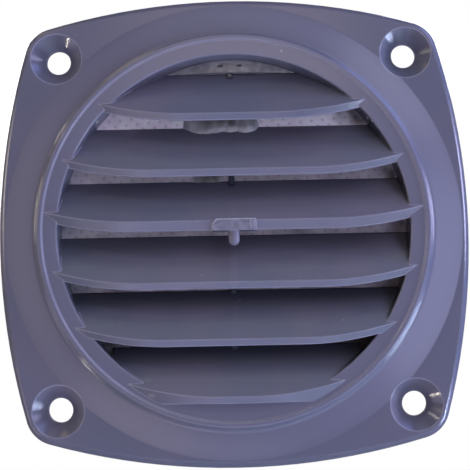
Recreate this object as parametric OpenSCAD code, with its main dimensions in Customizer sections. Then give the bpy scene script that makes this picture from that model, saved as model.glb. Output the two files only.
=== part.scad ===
// Round louvre vent grille: one moulding with a square flange, a domed ring and
// six sloping slats, and a cloth insect screen glued behind the slats.
// It is drawn lying on its back: x to the right, y up the wall, z out of the wall.
// The last lines stand it upright against a wall, with its front towards -Y.

/* [Flange] */
// Width and height over the middle of the bowed sides
flange_w = 85; // [84:0.5:95]
// Radius of the bowed sides
side_r = 122; // [105:1:200]
// Radius of the rounded corners
corner_r = 5.9; // [5.5:0.1:7.5]
// Thickness of the flat pads round the screw holes
pad_t = 3; // [2.8:0.1:4]
// Radius that rolls the outer edge over
edge_r = 2.5; // [1.5:0.1:2.8]
// Slope at which the rolled edge meets the pads
edge_slope = 30; // [20:1:45]

/* [Screw holes] */
// Distance from the flange's sides in to the screw holes
hole_inset = 10.75; // [10:0.25:11.5]
// Diameter of the screw holes
hole_d = 4.4; // [3.6:0.1:5]
// Diameter of the countersinks at the pads
countersink_d = 9.3; // [8.4:0.1:9.8]
// Full angle of the countersinks
countersink_angle = 90; // [82:1:100]

/* [Ring] */
// Diameter at which the dome runs out on the pads
dome_d = 82; // [78:0.5:84]
// Slope of the dome
dome_slope = 10; // [6:0.5:12]
// Outer diameter of the raised ring
ring_d = 70; // [68.5:0.5:72]
// Height of the ring above the foot of the dome
ring_rise = 1.55; // [1.5:0.05:2.5]
// Fillet between the dome and the ring
foot_r = 1.3; // [0.6:0.1:1.4]
// Rounding of the ring's outer edge
ring_edge_r = 0.4; // [0.2:0.05:0.5]
// Width of the rim that stands proud round the ring
rim_w = 0.9; // [0.6:0.1:1.4]
// Height of that rim above the ring's flat face
rim_step = 0.2; // [0.1:0.05:0.4]
// Diameter of the opening
opening_d = 62.6; // [61:0.2:63.6]
// Rounding of the opening's edge
opening_edge_r = 0.25; // [0.1:0.05:0.4]

/* [Slats] */
// Number of slats
slat_count = 6; // [4:1:6]
// Distance from slat to slat
slat_pitch = 9.93; // [9:0.03:10.2]
// Height of the middle of the set of slats, where it meets the ring's face
slat_mid = -2.1; // [-2.6:0.1:-1.5]
// Thickness of a slat
slat_t = 1.15; // [0.9:0.05:1.5]
// Slope of a slat below the horizontal
slat_slope = 54; // [45:1:58]
// How far the middle of a slat's lip stands out of the ring's face
lip_bulge = 1.8; // [0.8:0.1:2.2]
// Length at each end of a lip over which it curves back to the ring
lip_bow = 16.5; // [10:0.5:19]
// Angle by which the lip's face looks down
lip_lean = 25; // [10:1:35]
// Gap between the tip of a lip and the rim
tip_gap = 0.9; // [0.3:0.05:1.2]
// Number, from the top, of the slat that carries the gate mark
gate_slat = 3; // [2:1:4]
// Extra thickness that this slat gains towards its lip
gate_extra = 0.5; // [0.1:0.05:0.7]
// Height of the sill's straight edge below the centre, under the last slat
sill_drop = 30.5; // [30.2:0.1:30.8]
// Thickness of the sill
sill_t = 1.5; // [1:0.1:2.5]

/* [Gate mark] */
// Width of the gate mark
gate_w = 7.7; // [5:0.1:10]
// Height of the gate mark
gate_h = 2.1; // [1.5:0.1:3]
// How far the gate mark stands out of the lip
gate_proud = 0.3; // [0.1:0.05:0.6]
// Diameter of the peg under the gate mark
peg_d = 2; // [1.5:0.1:2.5]
// Length of the peg below the gate mark
peg_l = 2.6; // [1.5:0.1:3.5]

/* [Back] */
// Wall thickness of the ring's inner tube and of the dome
shell_t = 2; // [1.6:0.1:2.2]
// Width of the flat land round the back, from the dome's edge inwards
land_w = 1.6; // [1:0.1:3]
// Depth of the seat for the screen
seat_z = 0.9; // [0.8:0.05:1.2]
// Width of the seat for the screen
seat_w = 0.9; // [0.6:0.1:1.1]
// Width of the upright rib behind the slats
rib_w = 1; // [0.8:0.05:2]
// Depth of the rib
rib_t = 0.5; // [0.4:0.1:1.5]
// Place of the rib, left of the centre
rib_shift = 0.3; // [0:0.1:1]

/* [Screen] */
// Gap round the edge of the screen in its seat
screen_gap = 0.2; // [0.1:0.05:0.4]
// Thickness of the screen's cloth
screen_t = 0.3; // [0.2:0.05:0.6]

/* [Glue] */
// Height of the glue in front of the screen
glue_h = 1.2; // [0.8:0.1:1.6]
// Height of the thin smear in the third gap
smear_h = 0.3; // [0.2:0.05:0.6]
// Radius of the film of glue that fills the top gap
film_r = 12.5; // [10:0.5:14]
// Radius of the larger blobs of glue beside the rib
blob_r = 4.6; // [3:0.1:6]

/* [Hidden] */
$fn = 96;
over = 1;
arc_steps = 6;
bow_steps = 8;

ring_r = ring_d / 2;
dome_r = dome_d / 2;
opening_r = opening_d / 2;
bezel_edge_r = ring_r - rim_w;
dome_foot_z = pad_t + (dome_r - ring_r) * tan(dome_slope);
ring_z = dome_foot_z + ring_rise;
bezel_z = ring_z - rim_step;
tip_r = bezel_edge_r - rim_step - tip_gap;

side_shift = side_r - flange_w / 2;
corner_at = (sqrt(2 * pow(side_r - corner_r, 2) - pow(side_shift, 2)) - side_shift) / 2;
corner_turn = atan2(corner_at, corner_at + side_shift);
edge_z = pad_t - edge_r * cos(edge_slope);
edge_in = edge_r * (1 - sin(edge_slope));

slat_fall = tan(slat_slope);
slat_rise = slat_t / cos(slat_slope);
lip_z = bezel_z + lip_bulge;
seat_r = opening_r + seat_w;

// Points along an arc of radius r about c, from angle a to angle b.
function arc(c, r, a, b, n = arc_steps) =
    [for (k = [0:n]) let (t = a + (b - a) * k / n) c + r * [cos(t), sin(t)]];

// Slats are counted from 1 at the top. The gate slat thickens towards its lip, so its top is
// less steep. A slat's top meets the screen at rear_y, the ring's face at tip_y and its lip at lip_y.
function top_fall(i) =
    slat_fall - (i == gate_slat ? gate_extra / cos(slat_slope) / (lip_z - seat_z) : 0);
function rear_y(i) =
    slat_mid + ((slat_count + 1) / 2 - i) * slat_pitch + (bezel_z - seat_z) * slat_fall;
function tip_y(i) = rear_y(i) - (bezel_z - seat_z) * top_fall(i);
function lip_y(i) = rear_y(i) - (lip_z - seat_z) * top_fall(i);
function tip_x(i) = sqrt(pow(tip_r + (i == gate_slat ? tip_gap : 0), 2) - pow(tip_y(i), 2));
// Depth of the lip's curve in its leaning face.
function lip_depth(i) = lip_bulge * (cos(lip_lean) + sin(lip_lean) * top_fall(i));

// Turned disc with a straight wall, a rolled edge and a slope that runs on inwards.
module rolled_disc(r) {
    slope_top = edge_z + edge_r * cos(edge_slope) + (r - edge_in) * tan(edge_slope);
    rotate_extrude()
        polygon(concat([[0, -over], [r, -over]],
                       arc([r - edge_r, edge_z], edge_r, 0, 90 - edge_slope),
                       [[0, slope_top]]));
}

// Outside of one rounded corner: a wedge from the corner's centre, less the corner itself.
module corner_waste() {
    out = [cos(corner_turn), sin(corner_turn)] * flange_w;
    translate([corner_at, corner_at, 0]) difference() {
        translate([0, 0, -over]) linear_extrude(flange_w)
            polygon([[0, 0], out, [flange_w, flange_w], [out[1], out[0]]]);
        rolled_disc(corner_r);
    }
}

// The flange's blank: four bowed sides and four rounded corners, all with the rolled edge.
module flange_blank() {
    difference() {
        intersection_for(side = [0:3])
            rotate([0, 0, side * 90]) translate([-side_shift, 0, 0]) rolled_disc(side_r);
        for (side = [0:3]) rotate([0, 0, side * 90]) corner_waste();
    }
}

// Pads, dome and ring as one turned section.
module face_section() {
    foot_z = dome_foot_z + foot_r * (1 - sin(dome_slope)) / cos(dome_slope);
    rotate_extrude()
        polygon(concat([[0, 0], [flange_w, 0], [flange_w, pad_t], [dome_r, pad_t]],
                       arc([ring_r + foot_r, foot_z], foot_r, 270 - dome_slope, 180),
                       arc([ring_r - ring_edge_r, ring_z - ring_edge_r], ring_edge_r, 0, 90),
                       [[bezel_edge_r, ring_z], [bezel_edge_r - rim_step, bezel_z]],
                       arc([opening_r + opening_edge_r, bezel_z - opening_edge_r],
                           opening_edge_r, 90, 180),
                       [[opening_r, seat_z], [0, seat_z]]));
}

// The opening and the seat for the screen behind it.
module face_cuts() {
    translate([0, 0, -over]) cylinder(h = ring_z + 2 * over, r = opening_r);
    translate([0, 0, -over]) cylinder(h = seat_z + over, r = seat_r);
}

// Channel behind the dome, which keeps the moulding's wall even.
module back_channel() {
    channel_in = opening_r + shell_t;
    channel_out = dome_r - land_w;
    rotate_extrude()
        polygon([[channel_in, -over], [channel_out, -over],
                 [channel_out, pad_t + land_w * tan(dome_slope) - shell_t],
                 [channel_in, dome_foot_z - shell_t]]);
}

module screw_hole() {
    cone_h = (countersink_d - hole_d) / 2 / tan(countersink_angle / 2);
    translate([0, 0, -over]) cylinder(h = pad_t + 2 * over, d = hole_d);
    translate([0, 0, pad_t - cone_h]) cylinder(h = cone_h, d1 = hole_d, d2 = countersink_d);
    translate([0, 0, pad_t]) cylinder(h = over, d = countersink_d);
}

// The flat sheet that a slat is cut from, with its rear edge on the screen.
module slat_sheet(i) {
    front_z = lip_z + over;
    depth = front_z - seat_z;
    rotate([90, 0, 90]) linear_extrude(ring_d, center = true)
        polygon([[rear_y(i), seat_z],
                 [rear_y(i) - depth * top_fall(i), front_z],
                 [rear_y(i) - depth * slat_fall - slat_rise, front_z],
                 [rear_y(i) - slat_rise, seat_z]]);
}

// Front of a lip seen along its face: straight in the middle, curving back at both ends.
module lip_outline(i) {
    bow = min(lip_bow, tip_x(i));
    half = [for (k = [-1:bow_steps]) let (u = (k - 0.5) / bow_steps)
        [tip_x(i) - bow * u, -lip_depth(i) * pow(1 - u, 2)]];
    other = [for (k = [len(half) - 1:-1:0]) [-half[k][0], half[k][1]]];
    polygon(concat([[half[0][0], -flange_w]], half, other, [[-half[0][0], -flange_w]]));
}

// Everything behind a lip's face, which leans out at the top.
module behind_lip(i) {
    translate([0, lip_y(i), lip_z]) rotate([lip_lean + 90, 0, 0])
        linear_extrude(3 * flange_w, center = true) lip_outline(i);
}

module slat(i) {
    intersection() {
        union() {
            slat_sheet(i);
            if (i == slat_count) sill_wedge();
        }
        behind_lip(i);
        cylinder(h = lip_z + over, r = bezel_edge_r - rim_step);
    }
}

// Fills the corner between the last slat and the sill's straight edge.
module sill_wedge() {
    middle = rear_y(slat_count) - slat_rise / 2;
    inner_z = bezel_z - sill_t;
    front_z = lip_z + over;
    rotate([90, 0, 90]) linear_extrude(ring_d, center = true)
        polygon([[-sill_drop, inner_z],
                 [middle - (inner_z - seat_z) * slat_fall, inner_z],
                 [middle - (front_z - seat_z) * slat_fall, front_z],
                 [-sill_drop, front_z]]);
}

// Closes the foot of the opening below the last slat.
module sill() {
    top = tip_y(slat_count) - slat_rise / 2;
    intersection() {
        translate([0, 0, bezel_z - sill_t]) cylinder(h = sill_t, r = opening_r + over);
        translate([-ring_r, -ring_r, 0]) cube([ring_d, ring_r + top, ring_z]);
    }
}

// Upright rib that ties the rear edges of the slats together.
module rib() {
    translate([-rib_shift - rib_w / 2, -opening_r - seat_w / 2, seat_z])
        cube([rib_w, opening_d + seat_w, rib_t]);
}

// Patch where the gate was cut off, with the stub of a peg under it.
module gate_mark() {
    top = lip_y(gate_slat) + gate_proud;
    foot = top - gate_h;
    face = lip_z + gate_proud;
    corner = gate_h / 3;
    depth = gate_proud + peg_d;
    peg_end = peg_l + over - peg_d / 2;
    translate([0, 0, face - depth]) linear_extrude(depth)
        polygon([[-gate_w / 2, foot], [gate_w / 2, foot],
                 [gate_w / 2, top - corner / 2], [gate_w / 2 - corner / 2, top],
                 [corner - gate_w / 2, top], [-gate_w / 2, top - corner]]);
    translate([0, foot + over, lip_z - peg_d / 2]) rotate([90, 0, 0]) {
        cylinder(h = peg_end, d = peg_d);
        translate([0, 0, peg_end]) sphere(d = peg_d);
    }
}

module grille() {
    color([0.42, 0.41, 0.52]) difference() {
        union() {
            difference() {
                intersection() {
                    flange_blank();
                    face_section();
                }
                face_cuts();
            }
            for (i = [1:slat_count]) slat(i);
            sill();
            rib();
            gate_mark();
        }
        back_channel();
        for (x = [-1, 1], y = [-1, 1])
            translate([x, y, 0] * (flange_w / 2 - hole_inset)) screw_hole();
    }
}

// Disc of cloth that lies in its seat against the rear edges of the slats.
module insect_screen() {
    color([0.72, 0.68, 0.76]) translate([0, 0, seat_z - screen_t])
        cylinder(h = screen_t, r = seat_r - screen_gap);
}

// Low round blob of glue on the screen, with its middle at x, y.
module blob(x, y, r, h) {
    ball = (r * r + h * h) / (2 * h);
    translate([x, y, seat_z]) rotate_extrude()
        polygon(concat([[0, 0]], arc([0, h - ball], ball, 90 - 2 * atan(h / r), 90)));
}

// Glue squeezed out beside the rib in the top three gaps.
module glue() {
    color([0.5, 0.47, 0.5]) difference() {
        union() {
            intersection() {
                blob(0, rear_y(1), film_r, glue_h);
                cylinder(h = ring_z, r = opening_r);
                translate([-film_r, rear_y(1), 0]) cube([2 * film_r, film_r, ring_z]);
            }
            blob(-blob_r, rear_y(2), blob_r, glue_h);
            blob(blob_r / 2, rear_y(2), blob_r * 0.6, glue_h);
            blob(-blob_r, rear_y(3), blob_r * 0.8, smear_h);
        }
        for (i = [1:3]) slat_sheet(i);
        rib();
    }
}

module on_wall() rotate([90, 0, 0]) children();

on_wall() grille();
on_wall() insect_screen();
on_wall() glue();
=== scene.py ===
# %% [markdown]
# # Round louvre vent grille
# A square plastic flange carries a raised ring with six slats that slope down to the front, and a
# whitish cloth is glued behind them as an insect screen. The part comes in as a fixed frame of
# three nodes: grille, insect_screen and glue. The grille keeps its CAD shape and gets a finish.
# The cloth and the glue are made here as finer pieces, and small flaws of the moulding are added.

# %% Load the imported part
import math

import bmesh
import bpy
from mathutils import Matrix, Vector, noise
from mathutils.bvhtree import BVHTree


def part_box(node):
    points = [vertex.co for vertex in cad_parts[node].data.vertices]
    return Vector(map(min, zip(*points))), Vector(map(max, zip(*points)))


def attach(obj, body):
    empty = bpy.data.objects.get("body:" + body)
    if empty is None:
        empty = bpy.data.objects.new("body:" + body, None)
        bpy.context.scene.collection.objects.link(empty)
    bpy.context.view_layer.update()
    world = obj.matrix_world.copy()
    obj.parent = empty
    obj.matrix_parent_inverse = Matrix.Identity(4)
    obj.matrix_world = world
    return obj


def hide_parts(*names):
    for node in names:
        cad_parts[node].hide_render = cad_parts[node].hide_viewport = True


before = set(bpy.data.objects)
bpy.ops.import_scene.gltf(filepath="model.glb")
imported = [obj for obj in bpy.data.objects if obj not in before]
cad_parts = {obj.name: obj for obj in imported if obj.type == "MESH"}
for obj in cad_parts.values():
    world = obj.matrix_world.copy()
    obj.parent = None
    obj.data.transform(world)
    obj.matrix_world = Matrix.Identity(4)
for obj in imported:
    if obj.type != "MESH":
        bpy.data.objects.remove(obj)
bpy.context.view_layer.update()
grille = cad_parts["grille"]
MM = 0.001
PHOTO = 470

# %% [markdown]
# ## Camera
# The photo was taken from close by, about 16 cm in front of the wall and a little below the middle
# of the vent, turned by about one degree. The place and the lens come from fitting the screw
# holes, the ring, the slat tips and the slat edges to the photo.

# %% Camera
CAMERA_AT = Vector((0.99, -156.09, -15.59)) * MM
CAMERA_AIM = Vector((1.09, 0, -5.27)) * MM
CAMERA_ROLL = math.radians(1.15)
FOCAL_PX = 857.6


def make_camera():
    lens = bpy.data.cameras.new("camera")
    lens.sensor_width = 36
    lens.lens = FOCAL_PX * lens.sensor_width / PHOTO
    lens.shift_x = -0.0123
    lens.shift_y = 0.0528
    lens.clip_start = 0.01
    camera = bpy.data.objects.new("camera", lens)
    look = (CAMERA_AIM - CAMERA_AT).to_track_quat("-Z", "Y").to_matrix()
    turn = look @ Matrix.Rotation(-CAMERA_ROLL, 3, "Z")
    camera.matrix_world = Matrix.Translation(CAMERA_AT) @ turn.to_4x4()
    bpy.context.collection.objects.link(camera)
    bpy.context.scene.camera = camera
    return camera


camera = make_camera()
print("lens in mm:", round(camera.data.lens, 1))

# %% [markdown]
# ## Helpers for materials
# Each material is a small node tree. `add` makes one node: settings go in as a dictionary, and
# each socket is set to a number or joined to another node's output.

# %% Helpers for materials


def add(tree, kind, settings=None, **sockets):
    made = tree.nodes.new("ShaderNode" + kind)
    for name, value in (settings or {}).items():
        setattr(made, name, value)
    for name, value in sockets.items():
        socket = made.inputs[int(name[1:])] if name[1:].isdigit() else made.inputs[name.replace("_", " ")]
        if isinstance(value, bpy.types.NodeSocket):
            tree.links.new(value, socket)
        else:
            socket.default_value = value
    return made


def new_material(name):
    material = bpy.data.materials.new(name)
    material.use_nodes = True
    tree = material.node_tree
    tree.nodes.clear()
    return material, tree


def finish_material(tree, shader):
    output = tree.nodes.new("ShaderNodeOutputMaterial")
    tree.links.new(shader.outputs[0], output.inputs["Surface"])


def ramp(tree, value, low, high):
    """Maps value from low..high to 0..1."""
    return add(tree, "MapRange", {"interpolation_type": "SMOOTHSTEP"},
               Value=value, From_Min=low, From_Max=high).outputs[0]


def blend(tree, factor, first, second):
    mix = add(tree, "Mix", {"data_type": "RGBA"})
    for index, value in ((0, factor), (6, first), (7, second)):
        if isinstance(value, bpy.types.NodeSocket):
            tree.links.new(value, mix.inputs[index])
        else:
            mix.inputs[index].default_value = value
    return mix.outputs[2]


def math_node(tree, operation, first, second=0.0):
    return add(tree, "Math", {"operation": operation}, _0=first, _1=second).outputs[0]


# %% [markdown]
# ## Helpers for pieces
# A flaw is placed where the photo shows it: a ray goes from the camera through that pixel, and the
# piece sits where the ray meets the grille. So it lies on what carries it from any side.

# %% Helpers for pieces
grille_surface = BVHTree.FromObject(grille, bpy.context.evaluated_depsgraph_get())


def seat(column, row):
    """The point of the grille at a pixel of the picture, and the surface's normal there."""
    lens = camera.data
    across = (column / PHOTO - 0.5 + lens.shift_x) * lens.sensor_width / lens.lens
    up = (0.5 - row / PHOTO + lens.shift_y) * lens.sensor_width / lens.lens
    ray = camera.matrix_world.to_3x3() @ Vector((across, up, -1))
    point, normal, _, _ = grille_surface.ray_cast(camera.location, ray)
    if point is None:
        raise ValueError(f"no grille at pixel {column}, {row}")
    return point, normal


def show(piece, material):
    """Gives a new object its material, and makes it part of the vent."""
    bpy.context.collection.objects.link(piece)
    piece.data.materials.clear()
    piece.data.materials.append(material)
    piece.data.polygons.foreach_set("use_smooth", [True] * len(piece.data.polygons))
    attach(piece, "root")
    return piece


def mesh_piece(name, points, faces, material):
    mesh = bpy.data.meshes.new(name)
    mesh.from_pydata(points, [], faces)
    return show(bpy.data.objects.new(name, mesh), material)


def apply_modifiers(piece):
    bpy.context.view_layer.objects.active = piece
    for modifier in list(piece.modifiers):
        bpy.ops.object.modifier_apply(modifier=modifier.name)


def paint(piece, name, values):
    """Stores one number per vertex, which a material can read."""
    layer = piece.data.attributes.new(name, "FLOAT", "POINT")
    layer.data.foreach_set("value", values)


print("gate mark is at", [round(v / MM, 2) for v in seat(234, 225)[0]])

# %% [markdown]
# ## Grille plastic
# Blue-grey moulded plastic with a soft gloss. The edges of the real moulding are slightly rounded
# and rubbed. They could be bevelled in the mesh, but the CAD shape is kept as it is, so a bevel in
# the shading softens them, and the same bevel paints the edges a lighter colour, for rubbed wear
# and a painted highlight. Streaks drawn out along the slats, a pale flow line below the gate and a
# fine grain keep the surface from looking computed. The faces of the flange and the ring that look
# straight out of the wall are painted a third paler than the slats and the screw holes; the
# direction of the surface tells them apart. Painted shade darkens the plastic deep between the
# lower slats, on the rib and on the right of the opening's wall.

# %% Grille material
EDGE_ROUND = 0.36 * MM
FLOW_LINE_X = -0.1 * MM
FLOW_LINE_W = 1.1 * MM
HOLE_AT = 31.75 * MM
COUNTERSINK_R = 4.65 * MM
OPENING_R = 31.3 * MM
RIB_X = -0.3 * MM
PATCHES = ((151.5, 395.5, 1.9, 0.9, 0.5), (147, 380, 3.0, 1.2, 0.2), (221, 404, 7.0, 0.9, 0.15))
PALER_FROM = -0.93
PALER_FULL = -0.985


def rubbed_and_highlit_edges(tree, place):
    """Normals with rounded edges, and a mask of the edges that stand proud of the flange's rim, painted
    paler for rubbed wear and a painted highlight.
    """
    round_edge = add(tree, "Bevel", {"samples": 6}, Radius=EDGE_ROUND).outputs[0]
    normal = add(tree, "NewGeometry").outputs["Normal"]
    turn = add(tree, "VectorMath", {"operation": "DOT_PRODUCT"}, _0=round_edge, _1=normal)
    x, y, z = add(tree, "SeparateXYZ", _0=place).outputs
    aside = [math_node(tree, "SUBTRACT", math_node(tree, "ABSOLUTE", way), HOLE_AT) for way in (x, z)]
    from_hole = add(tree, "CombineXYZ", _0=aside[0], _1=aside[1]).outputs[0]
    from_hole = add(tree, "VectorMath", {"operation": "LENGTH"}, _0=from_hole).outputs["Value"]
    at_hole = ramp(tree, from_hole, COUNTERSINK_R + 0.3 * MM, COUNTERSINK_R + 0.1 * MM)
    proud = math_node(tree, "MAXIMUM", at_hole, ramp(tree, y, -3.2 * MM, -3.6 * MM))
    edge = ramp(tree, turn.outputs["Value"], 0.999, 0.96)
    return round_edge, math_node(tree, "MULTIPLY", edge, proud)


def flow_line(tree, place):
    """Mask of the pale upright line that the plastic left as it flowed from the gate."""
    split = add(tree, "SeparateXYZ", _0=place)
    off = math_node(tree, "ABSOLUTE", math_node(tree, "SUBTRACT", split.outputs[0], FLOW_LINE_X))
    near = ramp(tree, off, FLOW_LINE_W, 0.1 * FLOW_LINE_W)
    low = ramp(tree, split.outputs[2], 6 * MM, -1 * MM)
    high = ramp(tree, split.outputs[2], -24 * MM, -10 * MM)
    return math_node(tree, "MULTIPLY", near, math_node(tree, "MULTIPLY", low, high))


def paler_front_faces(tree, place):
    """Mask of the outer faces that look straight out of the wall, which are painted paler."""
    split = add(tree, "SeparateXYZ", _0=add(tree, "NewGeometry").outputs["Normal"])
    outer = ramp(tree, add(tree, "SeparateXYZ", _0=place).outputs[1], -2.6 * MM, -3.4 * MM)
    return math_node(tree, "MULTIPLY", outer, ramp(tree, split.outputs[1], PALER_FROM, PALER_FULL))


def pale_patch(tree, place, column, row, width, height):
    """Mask of a soft patch at a pixel of the picture, with its size in mm."""
    away = add(tree, "VectorMath", {"operation": "SUBTRACT"}, _0=place, _1=seat(column, row)[0]).outputs[0]
    size = (width / 2 * MM, 10 * MM, height / 2 * MM)
    off = add(tree, "VectorMath", {"operation": "DIVIDE"}, _0=away, _1=size).outputs[0]
    return ramp(tree, add(tree, "VectorMath", {"operation": "LENGTH"}, _0=off).outputs["Value"], 1, 0.3)


def painted_deep_shade(tree, place):
    """Mask of painted shade: deep between the lower slats, on the rib, and on the right of the opening's
    wall.
    """
    split = add(tree, "SeparateXYZ", _0=place)
    x, y, z = split.outputs
    across = add(tree, "CombineXYZ", _0=x, _2=z).outputs[0]
    off = add(tree, "VectorMath", {"operation": "LENGTH"}, _0=across).outputs["Value"]
    inside = ramp(tree, off, OPENING_R + 0.5 * MM, OPENING_R + 0.1 * MM)
    low = math_node(tree, "MULTIPLY", ramp(tree, y, -3.6 * MM, -1.4 * MM), ramp(tree, z, 6 * MM, -14 * MM))
    wall = math_node(tree, "MULTIPLY", ramp(tree, y, -5.2 * MM, -4.4 * MM),
                     ramp(tree, off, OPENING_R - 0.5 * MM, OPENING_R - 0.1 * MM))
    right = math_node(tree, "MULTIPLY", wall, ramp(tree, x, 12 * MM, 22 * MM))
    beside = math_node(tree, "ABSOLUTE", math_node(tree, "SUBTRACT", x, RIB_X))
    rib = math_node(tree, "MULTIPLY", ramp(tree, y, -2.0 * MM, -1.5 * MM),
                    ramp(tree, beside, 0.7 * MM, 0.55 * MM))
    shade_mask = math_node(tree, "MAXIMUM", low, math_node(tree, "MAXIMUM", right, rib))
    return math_node(tree, "MULTIPLY", inside, shade_mask)


def grille_plastic():
    material, tree = new_material("grille_plastic")
    place = add(tree, "TexCoord").outputs["Object"]
    flow = add(tree, "TexNoise", Vector=place, Scale=55, Detail=3, Roughness=0.55).outputs[0]
    drawn = add(tree, "Mapping", Vector=place, Scale=(0.08, 1, 1)).outputs[0]
    streaks = add(tree, "TexNoise", Vector=drawn, Scale=1400, Detail=2).outputs[0]
    grain = add(tree, "TexNoise", Vector=place, Scale=5200, Detail=2).outputs[0]
    round_edge, rub_and_highlight = rubbed_and_highlit_edges(tree, place)
    base = blend(tree, ramp(tree, flow, 0.35, 0.7), (0.132, 0.140, 0.198, 1), (0.166, 0.154, 0.212, 1))
    # the faces that look straight out of the wall are painted a third paler, picked by the direction of
    # the surface
    base = blend(tree, paler_front_faces(tree, place), base, (0.182, 0.178, 0.248, 1))
    base = blend(tree, math_node(tree, "MULTIPLY", ramp(tree, streaks, 0.3, 0.9), 0.25), base,
                 (0.18, 0.178, 0.24, 1))
    base = blend(tree, math_node(tree, "MULTIPLY", flow_line(tree, place), 0.05), base,
                 (0.40, 0.40, 0.48, 1))
    for column, row, width, height, strength in PATCHES:
        patch = pale_patch(tree, place, column, row, width, height)
        base = blend(tree, math_node(tree, "MULTIPLY", patch, strength), base, (0.30, 0.29, 0.31, 1))
    # rubbed wear and painted highlight: the proud edges are painted a paler colour
    base = blend(tree, math_node(tree, "MULTIPLY", rub_and_highlight, 0.75), base, (0.38, 0.37, 0.47, 1))
    # painted shade: the plastic is darkened deep between the lower slats, on the rib and on the right of
    # the opening's wall
    color = blend(tree, math_node(tree, "MULTIPLY", painted_deep_shade(tree, place), 0.75), base,
                  (0.035, 0.04, 0.055, 1))
    bump = add(tree, "Bump", Strength=0.05, Distance=0.00005, Height=grain, Normal=round_edge)
    rough = add(tree, "MapRange", Value=flow, From_Min=0.3, From_Max=0.7,
                To_Min=0.17, To_Max=0.23).outputs[0]
    finish_material(tree, add(tree, "BsdfPrincipled", Base_Color=color, Roughness=rough,
                              Normal=bump.outputs[0], IOR=1.5))
    return material


plastic = grille_plastic()
grille.data.materials.clear()
grille.data.materials.append(plastic)
print("grille faces:", len(grille.data.polygons))

# %% [markdown]
# ## Insect screen
# A disc of thin whitish cloth, bonded in small pressed dots that stand on a square lattice. It
# was glued in with the lattice on its corner and a few degrees askew. The dots could be a texture,
# but they are pressed into the real cloth, so a fine mesh made of one cell per dot stands in for
# the plain CAD disc. Its material mottles the cloth and darkens the dots a little. It greys the
# cloth round its edge with dirt and painted shade, most of all on the right, and darkens the lower
# gaps with painted shade.

# %% Insect screen
DOT_PITCH = 1.45 * MM
DOT_R = 0.30 * MM
DOT_DEPTH = 0.08 * MM
CLOTH_T = 0.12 * MM
CLOTH_TURN = math.radians(45 + 5.5)
DIRT_AND_SHADE_FROM = 26.5 * MM


def screen_cloth():
    material, tree = new_material("screen_cloth")
    place = add(tree, "TexCoord").outputs["Object"]
    cloud = add(tree, "TexNoise", Vector=place, Scale=420, Detail=5).outputs[0]
    fibre = add(tree, "TexNoise", Vector=place, Scale=3600, Detail=3, Distortion=1.5).outputs[0]
    dot = add(tree, "Attribute", {"attribute_name": "dot"}).outputs["Fac"]
    dirt_and_shade = add(tree, "Attribute", {"attribute_name": "dirt_and_shade"}).outputs["Fac"]
    cloth = blend(tree, ramp(tree, cloud, 0.36, 0.68), (0.90, 0.80, 0.88, 1), (0.97, 0.93, 0.96, 1))
    color = blend(tree, math_node(tree, "MULTIPLY", dot, 0.34), cloth, (0.30, 0.24, 0.31, 1))
    look = add(tree, "SeparateXYZ", _0=add(tree, "NewGeometry").outputs["Normal"]).outputs[1]
    dirt_and_shade = math_node(tree, "MULTIPLY", dirt_and_shade, math_node(tree, "ADD", ramp(tree, look, 0.5, -0.5), 0.25))
    # dirt and painted shade grey the cloth, on its front most of all
    color = blend(tree, dirt_and_shade, color, (0.075, 0.065, 0.075, 1))
    bump = add(tree, "Bump", Strength=0.5, Distance=0.0001, Height=fibre)
    finish_material(tree, add(tree, "BsdfPrincipled", Base_Color=color, Roughness=0.85,
                              Normal=bump.outputs[0]))
    return material


def dotted_cloth(radius, front):
    """One square cell per dot, with a pressed middle; the outer cells are drawn in to the edge."""
    spokes = 8
    reach = int(radius / DOT_PITCH) + 2
    turn = Matrix.Rotation(CLOTH_TURN, 2)
    points, faces, dots = [], [], []

    def put(spot, depth, dark):
        if spot.length > radius:
            spot = spot * (radius / spot.length)
        points.append((spot.x, front + depth, spot.y))
        dots.append(dark)

    for column in range(-reach, reach + 1):
        for row in range(-reach, reach + 1):
            middle = turn @ Vector((column, row)) * DOT_PITCH
            if middle.length > radius + DOT_PITCH / 2:
                continue
            first = len(points)
            for k in range(spokes):
                angle = math.tau * k / spokes
                spoke = Vector((math.cos(angle), math.sin(angle)))
                side = DOT_PITCH / 2 / max(abs(spoke.x), abs(spoke.y))
                put(middle + turn @ spoke * side, 0, 0)
                put(middle + turn @ spoke * DOT_R * 1.3, DOT_DEPTH * 0.15, 0)
                put(middle + turn @ spoke * DOT_R * 0.7, DOT_DEPTH, 1)
            put(middle, DOT_DEPTH, 1)
            for k in range(spokes):
                this, after = first + 3 * k, first + 3 * ((k + 1) % spokes)
                faces.append((this, after, after + 1, this + 1))
                faces.append((this + 1, after + 1, after + 2, this + 2))
                faces.append((this + 2, after + 2, first + 3 * spokes))
    return points, faces, dots


def dirt_and_shade_at(spot):
    """How dark the cloth is painted: dirt and painted shade near its edge, more on the right, and painted
    shade in the lower gaps.
    """
    # dirt and painted shade round the edge, most of all on the right
    edge = (Vector((spot.x, spot.z)).length - DIRT_AND_SHADE_FROM) / (4 * MM)
    edge = max(0, min(1, edge)) * (0.75 if spot.x > 0 else 0.15)
    edge *= 0.85 + 0.6 * noise.noise(spot / MM * 0.5)
    up = spot.z / MM
    # painted shade: darker in the lower gaps
    low = 0.44 + 0.002 * spot.x / MM + 0.012 * max(0, 6 - up)
    low *= max(0, min(1, (17 - up) / 5)) * (1 + 0.3 * noise.noise(spot / MM * 0.3))
    return max(0, min(0.93, max(edge, low)))


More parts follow.
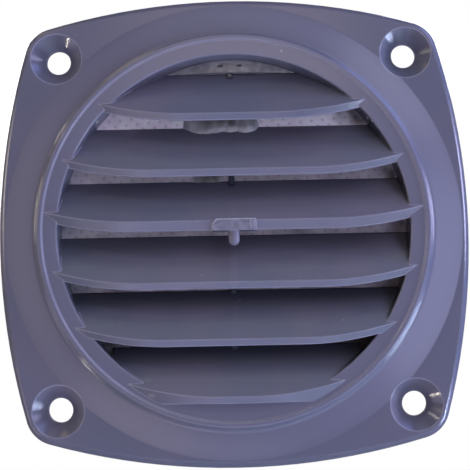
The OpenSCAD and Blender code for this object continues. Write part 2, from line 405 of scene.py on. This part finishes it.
def make_screen():
    low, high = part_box("insect_screen")
    radius = (high[0] - low[0]) / 2 - 0.1 * MM
    points, faces, dots = dotted_cloth(radius, low[1] + 0.01 * MM)
    piece = mesh_piece("dotted_cloth", points, faces, screen_cloth())
    paint(piece, "dot", dots)
    paint(piece, "dirt_and_shade", [dirt_and_shade_at(vertex.co) for vertex in piece.data.vertices])
    weld = piece.modifiers.new("weld", "WELD")
    weld.merge_threshold = 0.01 * MM
    solid = piece.modifiers.new("solid", "SOLIDIFY")
    solid.thickness = CLOTH_T
    solid.offset = -1
    apply_modifiers(piece)
    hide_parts("insect_screen")
    return piece


screen = make_screen()
print("screen faces:", len(screen.data.polygons))

# %% [markdown]
# ## Glue
# Clear glue was squeezed out beside the upright rib in the top three gaps and set with a greyish
# skin: a smooth film with two pores in the top gap, two lumps in the second, and a smear in the
# third. The CAD blobs say where it is. A copy of them, with a bridge over the rib, is remeshed into
# small cells, smoothed so that every edge flows, and pushed in and out by noise. Stains, pores and
# the pale skin along the lower rims are painted on its points.

# %% Glue
GLUE_CELL = 0.11 * MM
LUMP = 0.16 * MM
BRIDGE_AT = Vector((-0.4, -1.5, 19.3)) * MM
BRIDGE_R = (2.2 * MM, 0.55 * MM, 1.6 * MM)
PORES = ((-2.0, 30.25), (1.5, 30.25))
STAINS = ((-4.6, 20.4, 2.2), (-2.4, 20.4, 1.7), (-0.2, 19.9, 1.1), (-5.0, 10.1, 2.4), (-3.4, 10.1, 1.4))
RIM_Z = 18.0
RIM_W = 0.9
BUBBLE = ((-1.3, 9.9, 0.55),)


def set_glue():
    material, tree = new_material("set_glue")
    place = add(tree, "TexCoord").outputs["Object"]
    cloud = add(tree, "TexNoise", Vector=place, Scale=700, Detail=3).outputs[0]
    stain = add(tree, "Attribute", {"attribute_name": "stain"}).outputs["Fac"]
    skin = add(tree, "Attribute", {"attribute_name": "skin"}).outputs["Fac"]
    color = blend(tree, ramp(tree, cloud, 0.35, 0.65), (0.28, 0.27, 0.29, 1), (0.42, 0.41, 0.43, 1))
    color = blend(tree, skin, color, (0.50, 0.50, 0.52, 1))
    color = blend(tree, stain, color, (0.055, 0.055, 0.04, 1))
    finish_material(tree, add(tree, "BsdfPrincipled", Base_Color=color, Roughness=0.22, IOR=1.48))
    return material


def closeness(point, marks):
    """1 at the middle of the nearest mark (x, z and radius in mm), falling to 0 at its radius."""
    spot = Vector((point.x, point.z)) / MM
    return max(max(0, 1 - (spot - Vector(mark[:2])).length / mark[2]) for mark in marks)


def bridged(mesh):
    """A copy of the CAD glue with a lump more, which joins the two in the second gap."""
    cage = bmesh.new()
    cage.from_mesh(mesh)
    place = Matrix.Translation(BRIDGE_AT) @ Matrix.Diagonal((*BRIDGE_R, 1))
    bmesh.ops.create_icosphere(cage, subdivisions=3, radius=1, matrix=place)
    made = bpy.data.meshes.new("set_glue")
    cage.to_mesh(made)
    cage.free()
    return made


def make_glue():
    piece = show(bpy.data.objects.new("set_glue", bridged(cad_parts["glue"].data)),
                 set_glue())
    remesh = piece.modifiers.new("remesh", "REMESH")
    remesh.mode = "VOXEL"
    remesh.voxel_size = GLUE_CELL
    smooth = piece.modifiers.new("smooth", "SMOOTH")
    smooth.factor = 0.6
    smooth.iterations = 5
    apply_modifiers(piece)
    normals = [vertex.normal.copy() for vertex in piece.data.vertices]
    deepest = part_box("insect_screen")[0][1] + CLOTH_T / 2
    spots, stains, skins = [], [], []
    for vertex, normal in zip(piece.data.vertices, normals):
        spot = vertex.co.copy()
        wave = noise.noise(spot / MM * 0.7)
        film = spot.z > 28 * MM
        pore = max(max(0, 1 - Vector(((spot.x / MM - x) / 0.62, (spot.z / MM - z) / 0.3)).length)
                   for x, z in PORES)
        swell = wave * LUMP * (0.15 if film else 1) - pore * 0.25 * MM
        moved = spot + normal * swell + Vector((0, 0.05 * MM, 0))
        moved.y = min(moved.y, deepest)
        spots.extend(moved)
        stains.append(max(0.22 if film else 0, 0.8 * closeness(spot, STAINS) ** 0.5, min(1, 3 * pore)))
        rim = max(0, 1 - abs(spot.z / MM - RIM_Z) / RIM_W) * (0.75 + wave)
        skins.append(max(0, min(1, rim), closeness(spot, BUBBLE)))
    piece.data.vertices.foreach_set("co", spots)
    piece.data.update()
    paint(piece, "stain", stains)
    paint(piece, "skin", skins)
    piece.data.polygons.foreach_set("use_smooth", [True] * len(piece.data.polygons))
    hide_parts("glue")
    return piece


glue = make_glue()
print("glue faces:", len(glue.data.polygons))

# %% [markdown]
# ## Gate scar
# The third slat carries the patch where the gate was cut off. The cut left a paler, slightly uneven
# face with a sharp bright ridge along its top and its cut left corner, and two upright lines on the
# right. A bump in the material would stay flat from the side, so a thin skin with real lumps covers
# the front of the CAD patch. Its ridges are painted on its points.

# %% Gate scar
GATE_X = (-3.85, 3.85)
GATE_Z = (-0.57, 1.55)
GATE_Y = -7.508
GATE_CUT = 0.85
GATE_LOW_CUT = 0.45
GATE_LINES = (2.95, 3.5)
SKIN_EDGE = 0.03


def pale_plastic():
    material, tree = new_material("torn_plastic")
    place = add(tree, "TexCoord").outputs["Object"]
    torn = add(tree, "TexNoise", Vector=place, Scale=620, Detail=3, Distortion=0.6).outputs[0]
    ridge = add(tree, "Attribute", {"attribute_name": "ridge"}).outputs["Fac"]
    color = blend(tree, ramp(tree, torn, 0.3, 0.75), (0.165, 0.165, 0.23, 1), (0.29, 0.29, 0.37, 1))
    color = blend(tree, ridge, color, (0.62, 0.62, 0.72, 1))
    bump = add(tree, "Bump", Strength=0.25, Distance=0.00006, Height=torn)
    finish_material(tree, add(tree, "BsdfPrincipled", Base_Color=color, Roughness=0.38,
                              Normal=bump.outputs[0]))
    return material


def gate_skin_point(u, v):
    """Place in mm of one point of the skin, and how much of a ridge it is."""
    x = GATE_X[0] + u * (GATE_X[1] - GATE_X[0])
    z = GATE_Z[0] + v * (GATE_Z[1] - GATE_Z[0])
    cut = max(0, GATE_CUT - (x - GATE_X[0]) - (GATE_Z[1] - z))
    low_cut = max(0, GATE_LOW_CUT - (x - GATE_X[0]) - (z - GATE_Z[0]))
    x, z = x + (cut + low_cut) / 2, z + (low_cut - cut) / 2
    left, top = x - GATE_X[0], GATE_Z[1] - z
    upper = min(top, (left + top - GATE_CUT) / 1.4)
    margin = min(left, GATE_X[1] - x, upper, z - GATE_Z[0], (left + z - GATE_Z[0] - GATE_LOW_CUT) / 1.4)
    rim = max(0, 1 - abs(upper - 0.12) / 0.13) * (0.75 + 0.5 * noise.noise(Vector((x * 2, 5, 0))))
    lines = max(max(0, 1 - abs(x - at) / 0.11) for at in GATE_LINES) * min(1, margin / 0.3)
    uneven = 0.03 * noise.fractal(Vector((x * 1.2, z * 1.8, 0)), 0.7, 2.0, 3)
    proud = min(0.08, 0.025 + uneven + 0.05 * rim + 0.04 * lines)
    if margin < SKIN_EDGE:
        proud = -0.12
    return Vector((x, GATE_Y - proud, z)), min(1, max(rim, 0.45 * lines))


def gate_scar(material):
    columns, rows = 110, 32
    skin = [gate_skin_point(column / columns, row / rows)
            for row in range(rows + 1) for column in range(columns + 1)]
    faces = []
    for row in range(rows):
        for column in range(columns):
            at = row * (columns + 1) + column
            faces.append((at, at + 1, at + columns + 2, at + columns + 1))
    piece = mesh_piece("gate_scar", [spot * MM for spot, _ in skin], faces, material)
    paint(piece, "ridge", [ridge for _, ridge in skin])
    return piece


torn = pale_plastic()
scar = gate_scar(torn)
print("gate scar faces:", len(scar.data.polygons))

# %% [markdown]
# ## Flash and crumbs
# Thin flash stands along a few lip edges, and small crumbs of plastic and drops of glue stick to
# the slats and to the wall of the opening. Each one is a small lump or ragged ribbon that is
# seated on the grille with the ray of its pixel, so none of them floats.

# %% Flash and crumbs
FLASH = (((193, 221.3), (211, 221.0), 0.22), ((188, 289.2), (232, 288.3), 0.20),
         ((190, 276.6), (206, 276.0), 0.10), ((286, 274.5), (300, 274.0), 0.10))
CRUMBS = ((202, 275, 0.16), (213, 273, 0.10), (195, 277, 0.12), (205, 326, 0.17), (120, 320.5, 0.16),
          (343, 320, 0.15), (300, 277, 0.10), (240, 300, 0.09))
DROPS = ((97, 122, 0.34), (367.5, 117.5, 0.30), (372, 121, 0.22), (281, 51, 0.20))


def lump(cage, point, normal, size, flatness):
    """Adds one small uneven lump to a bmesh, seated on the surface with this normal."""
    lean = normal.to_track_quat("Z", "Y")
    made = bmesh.ops.create_icosphere(cage, subdivisions=3, radius=1)["verts"]
    for vertex in made:
        swell = 1 + 0.45 * noise.noise(vertex.co * 1.3 + point / MM)
        spot = Vector((vertex.co.x, vertex.co.y, vertex.co.z * flatness)) * swell * size
        vertex.co = point + lean @ spot


def lumps(name, marks, flatness, material):
    cage = bmesh.new()
    for column, row, size in marks:
        point, normal = seat(column, row)
        lump(cage, point, normal, size * MM, flatness)
    mesh = bpy.data.meshes.new(name)
    cage.to_mesh(mesh)
    cage.free()
    return show(bpy.data.objects.new(name, mesh), material)


def flash_ribbons(material):
    """Ragged ribbons along the lips, from one pixel to another, each up to a given height in mm."""
    points, faces = [], []
    for start, end, tall in FLASH:
        steps = int(3 * (end[0] - start[0]))
        first = len(points)
        for k in range(steps + 1):
            point, _ = seat(start[0] + (end[0] - start[0]) * k / steps,
                            start[1] + (end[1] - start[1]) * k / steps)
            ragged = tall * MM * max(0, noise.noise(Vector((point.x / MM * 1.7, tall, 0))) + 0.25)
            points += [point + Vector((0, 0.1, 0)) * MM,
                       point + Vector((0, -0.25, 1)) * ragged,
                       point + Vector((0, -1, -0.25)) * ragged]
        for at in range(first, first + 3 * steps, 3):
            faces += [(at, at + 3, at + 4, at + 1), (at + 1, at + 4, at + 5, at + 2),
                      (at + 2, at + 5, at + 3, at)]
    return mesh_piece("flash", points, faces, material)


flash = flash_ribbons(torn)
crumbs = lumps("crumbs", CRUMBS, 0.5, torn)
drops = lumps("glue_drops", DROPS, 0.45, glue.data.materials[0])
print("flash and crumb faces:", [len(p.data.polygons) for p in (flash, crumbs, drops)])

# %% [markdown]
# ## Light and backdrop
# The photo is a cut-out on white. Its shading shows wide light from both sides, bluish on the right
# and neutral on the left, with little from straight ahead, so the backs of the slats stay dark.
# Each lamp is given by its direction from the vent. White is for the camera only, so the backdrop
# throws no light of its own between the slats, and two lamps behind light the back of the vent.

# %% Light and backdrop
LAMP_AT = 0.9


def lamp(name, azimuth, elevation, size, power, color):
    """Azimuth in degrees to the right of the vent's front, elevation in degrees above it."""
    turn, lift = math.radians(azimuth), math.radians(elevation)
    at = Vector((math.sin(turn) * math.cos(lift), -math.cos(turn) * math.cos(lift),
                 math.sin(lift))) * LAMP_AT
    source = bpy.data.lights.new(name, "AREA")
    source.shape = "ELLIPSE"
    source.size, source.size_y = size
    source.energy = power
    source.color = color
    light = bpy.data.objects.new(name, source)
    light.location = at
    light.rotation_euler = (-at).to_track_quat("-Z", "Y").to_euler()
    light.visible_camera = False
    bpy.context.collection.objects.link(light)
    return light


def backdrop_material():
    material, tree = new_material("backdrop")
    seen = add(tree, "LightPath").outputs["Is Camera Ray"]
    white = add(tree, "Emission", Color=(1, 1, 1, 1), Strength=1.0)
    plain = add(tree, "BsdfDiffuse", Color=(0.5, 0.5, 0.5, 1))
    finish_material(tree, add(tree, "MixShader", _0=seen, _1=plain.outputs[0], _2=white.outputs[0]))
    return material


def backdrop_plane(name, at, turn, material):
    bpy.ops.mesh.primitive_plane_add(size=6, location=at, rotation=turn)
    plane = bpy.context.object
    plane.name = name
    plane.data.materials.append(material)


def room(strength):
    """A dim room, which the camera sees as white."""
    world = bpy.data.worlds.new("room")
    world.use_nodes = True
    tree = world.node_tree
    tree.nodes.clear()
    seen = add(tree, "LightPath").outputs["Is Camera Ray"]
    dim = add(tree, "Background", Color=(0.88, 0.92, 1.0, 1), Strength=strength)
    white = add(tree, "Background", Color=(1, 1, 1, 1), Strength=1.0)
    mix = add(tree, "MixShader", _0=seen, _1=dim.outputs[0], _2=white.outputs[0])
    tree.links.new(mix.outputs[0], tree.nodes.new("ShaderNodeOutputWorld").inputs["Surface"])
    bpy.context.scene.world = world


LAMPS = (
    ("window", 80, -20, (0.05, 0.05), 1.3, (0.56, 0.68, 1.0)),
    ("right_low", 84, -28, (0.30, 0.30), 3.9, (0.60, 0.72, 1.0)),
    ("right", 84, 10, (0.30, 0.30), 3.7, (0.66, 0.64, 1.0)),
    ("right_high", 80, 45, (0.50, 0.50), 2.8, (0.32, 0.40, 1.0)),
    ("right_above", 40, 34, (0.50, 0.50), 1.55, (0.77, 0.77, 1.0)),
    ("right_front", 33, -4, (0.30, 0.62), 1.3, (0.66, 0.66, 1.0)),
    ("right_below", 45, -45, (0.60, 0.60), 1.3, (0.54, 0.76, 1.0)),
    ("low_window_right", 46, -24, (0.05, 0.05), 0.5, (0.80, 0.88, 1.0)),
    ("below", 0, -50, (0.60, 0.60), 1.7, (0.60, 0.60, 1.0)),
    ("left_below", -26, -34, (0.50, 0.50), 0.7, (1.0, 0.84, 0.80)),
    ("low_window_left", -75, -37, (0.04, 0.04), 1.0, (1.0, 0.92, 0.80)),
    ("left", -84, 12, (0.30, 0.30), 1.2, (1.0, 0.92, 0.76)),
    ("left_low", -84, -20, (0.30, 0.30), 0.5, (0.80, 0.70, 1.0)),
    ("left_high", -84, 60, (0.30, 0.30), 0.6, (1.0, 0.80, 0.50)),
    ("left_above", -66, 33, (0.04, 0.04), 0.8, (1.0, 0.92, 0.82)),
    ("left_front", -34, 5, (0.30, 0.62), 0.2, (1.0, 0.76, 0.40)),
    ("above", 0, 60, (0.80, 0.80), 0.9, (0.9, 1.0, 1.0)),
    ("front", 0, 18, (0.30, 0.30), 0.4, (1.0, 0.85, 0.70)),
    ("behind_left", -150, 20, (0.40, 0.40), 3.0, (1.0, 1.0, 1.0)),
    ("behind_right", 150, 30, (0.40, 0.40), 3.0, (0.90, 0.93, 1.0)),
)
lamps = [lamp(*settings) for settings in LAMPS]
paper = backdrop_material()
backdrop_plane("backdrop", (0, 1.2, 0), (math.radians(90), 0, 0), paper)
backdrop_plane("floor", (0, 0, -1.2), (0, 0, 0), paper)
room(0.03)
bpy.context.scene.view_settings.view_transform = "Standard"
print("lamps:", len(lamps))
